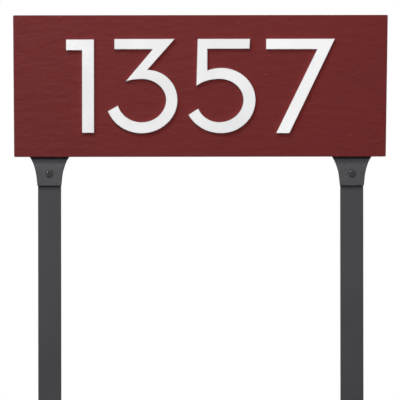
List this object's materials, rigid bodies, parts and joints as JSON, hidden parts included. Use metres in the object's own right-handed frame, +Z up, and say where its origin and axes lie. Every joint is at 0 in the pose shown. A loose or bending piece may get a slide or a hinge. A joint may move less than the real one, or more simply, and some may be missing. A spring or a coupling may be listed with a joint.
{
  "type": "lawn plaque",
  "caption": "Rectangular lawn address plaque with raised numerals, held above the ground by flat pointed stakes on flared brackets.",
  "frame": {"origin": "at ground level, midway between the stakes and in the middle of their thickness", "axes": "+X to the right as the plaque is read, +Y towards its back, +Z up"},
  "size_m": [0.402, 0.0266, 0.6134],
  "materials": {
    "red_coat": "matte textured powder coat on cast aluminium",
    "numeral_metal": "fine satin",
    "black_coat": "matte black powder coat",
    "zinc_steel": "zinc plated"
  },
  "bodies": {
    "root": {"bracket_left": "black_coat", "bracket_right": "black_coat", "bracket_screw_left_inner": "zinc_steel", "bracket_screw_left_outer": "zinc_steel", "bracket_screw_right_inner": "zinc_steel", "bracket_screw_right_outer": "zinc_steel", "bracket_washer_left_inner": "zinc_steel", "bracket_washer_left_outer": "zinc_steel", "bracket_washer_right_inner": "zinc_steel", "bracket_washer_right_outer": "zinc_steel", "numeral_five": "numeral_metal", "numeral_one": "numeral_metal", "numeral_seven": "numeral_metal", "numeral_three": "numeral_metal", "nut_five_foot": "zinc_steel", "nut_five_side": "zinc_steel", "nut_five_top": "zinc_steel", "nut_one_foot": "zinc_steel", "nut_one_top": "zinc_steel", "nut_seven_foot": "zinc_steel", "nut_seven_top": "zinc_steel", "nut_three_foot": "zinc_steel", "nut_three_side": "zinc_steel", "nut_three_top": "zinc_steel", "plate": "red_coat", "stake_left": "black_coat", "stake_nut_left": "zinc_steel", "stake_nut_right": "zinc_steel", "stake_right": "black_coat", "stake_screw_left": "black_coat", "stake_screw_right": "black_coat", "stake_washer_left": "zinc_steel", "stake_washer_right": "zinc_steel", "stud_five_foot": "zinc_steel", "stud_five_side": "zinc_steel", "stud_five_top": "zinc_steel", "stud_one_foot": "zinc_steel", "stud_one_top": "zinc_steel", "stud_seven_foot": "zinc_steel", "stud_seven_top": "zinc_steel", "stud_three_foot": "zinc_steel", "stud_three_side": "zinc_steel", "stud_three_top": "zinc_steel", "washer_five_foot": "zinc_steel", "washer_five_side": "zinc_steel", "washer_five_top": "zinc_steel", "washer_one_foot": "zinc_steel", "washer_one_top": "zinc_steel", "washer_seven_foot": "zinc_steel", "washer_seven_top": "zinc_steel", "washer_three_foot": "zinc_steel", "washer_three_side": "zinc_steel", "washer_three_top": "zinc_steel"}
  },
  "joints": []
}
